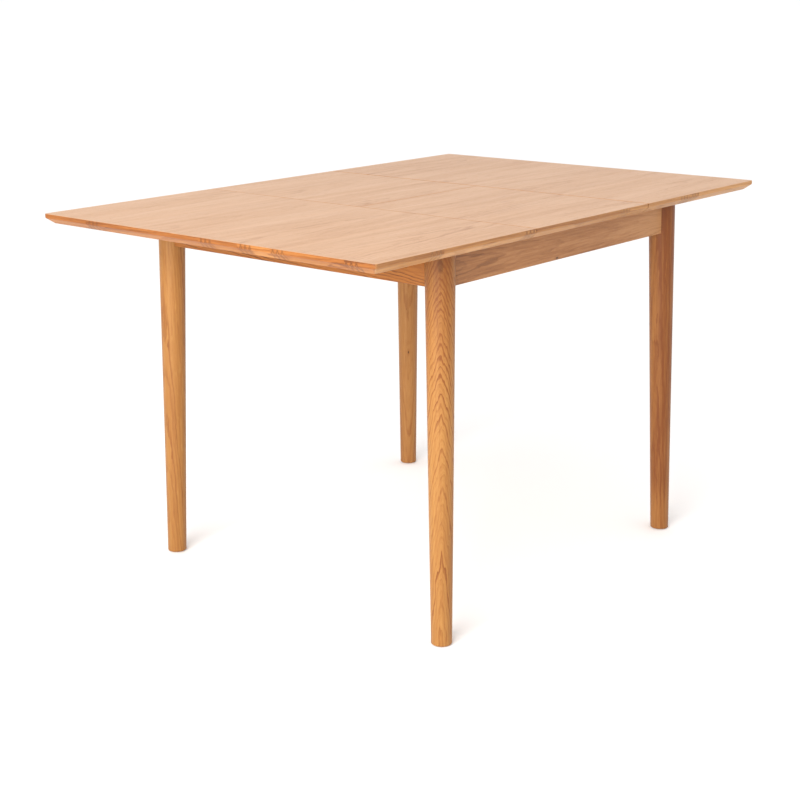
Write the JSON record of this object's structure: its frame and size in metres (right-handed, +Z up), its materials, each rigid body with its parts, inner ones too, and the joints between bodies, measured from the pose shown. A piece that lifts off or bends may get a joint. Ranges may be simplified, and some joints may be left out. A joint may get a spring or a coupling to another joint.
{
  "type": "extendable dining table",
  "caption": "Oak dining table with round tapered legs and an undercut rim; end tops pull out on geared runners and a two-part folding leaf fills the middle.",
  "frame": {"origin": "on the floor under the middle of the extended table", "axes": "+X along the table towards the right end, +Y towards the back, +Z up"},
  "size_m": [1.25, 0.85, 0.75],
  "materials": {
    "oak_top": "oiled oak, satin",
    "oak_legs": "turned solid oak, satin",
    "oak_aprons": "solid oak, satin",
    "beech": "planed beech",
    "steel": "zinc-plated steel",
    "brass": "turned brass",
    "nylon": "moulded nylon"
  },
  "bodies": {
    "frame": {"leaf_back": "oak_top", "leaf_hinges_back": "brass", "leg_front_left": "oak_legs", "leg_front_right": "oak_legs", "leg_back_left": "oak_legs", "leg_back_right": "oak_legs", "foot_glides": "nylon", "apron_front": "oak_aprons", "apron_back": "oak_aprons", "apron_left": "oak_aprons", "apron_right": "oak_aprons", "corner_blocks": "beech", "block_screws": "steel", "hanger_bolts": "steel", "washers": "steel", "nuts": "steel", "guide_rail_front": "beech", "guide_rail_back": "beech", "glide_strips": "nylon", "rail_screws": "steel", "cross_rail_left": "beech", "cross_rail_right": "beech", "pinion_pins": "steel", "pivot_rod": "steel", "pivot_brackets": "steel", "bracket_screws": "steel", "pivot_arms": "steel", "arm_screws": "steel"},
    "left_top": {"left_top": "oak_top", "runner_left_front": "beech", "runner_left_back": "beech", "rack_left_front": "nylon", "rack_left_back": "nylon", "stops_left": "beech", "top_screws_left": "steel"},
    "right_top": {"right_top": "oak_top", "runner_right_front": "beech", "runner_right_back": "beech", "rack_right_front": "nylon", "rack_right_back": "nylon", "stops_right": "beech", "top_screws_right": "steel"},
    "hinge_links": {"hinge_links": "brass"},
    "leaf_front": {"leaf_front": "oak_top", "leaf_hinges_front": "brass"},
    "pinion_front": {"pinion_front": "nylon"},
    "pinion_back": {"pinion_back": "nylon"}
  },
  "joints": [
    {"name": "left_top_slide", "type": "slide", "parent": "frame", "child": "left_top", "axis": [-1, 0, 0], "range_m": [0, 0.04]},
    {"name": "right_top_slide", "type": "slide", "parent": "frame", "child": "right_top", "axis": [1, 0, 0], "range_m": [0, 0.04]},
    {"name": "leaf_link_turn", "type": "hinge", "parent": "frame", "child": "hinge_links", "pos_m": [0, 0.005, 0.7486], "axis": [-1, 0, 0], "range_deg": [0, 90]},
    {"name": "leaf_fold", "type": "hinge", "parent": "hinge_links", "child": "leaf_front", "pos_m": [0, -0.005, 0.7486], "axis": [-1, 0, 0], "range_deg": [0, 90]},
    {"name": "pinion_front_spin", "type": "hinge", "parent": "frame", "child": "pinion_front", "pos_m": [0, -0.25, 0.704], "axis": [0, 0, -1], "range_deg": [0, 145]},
    {"name": "pinion_back_spin", "type": "hinge", "parent": "frame", "child": "pinion_back", "pos_m": [0, 0.25, 0.704], "axis": [0, 0, 1], "range_deg": [0, 145]}
  ],
  "couplings": [
    {"joint": "right_top_slide", "follows": "left_top_slide", "ratio": 1},
    {"joint": "pinion_front_spin", "follows": "left_top_slide", "rad_per_m": 62.5},
    {"joint": "pinion_back_spin", "follows": "left_top_slide", "rad_per_m": 62.5}
  ]
}
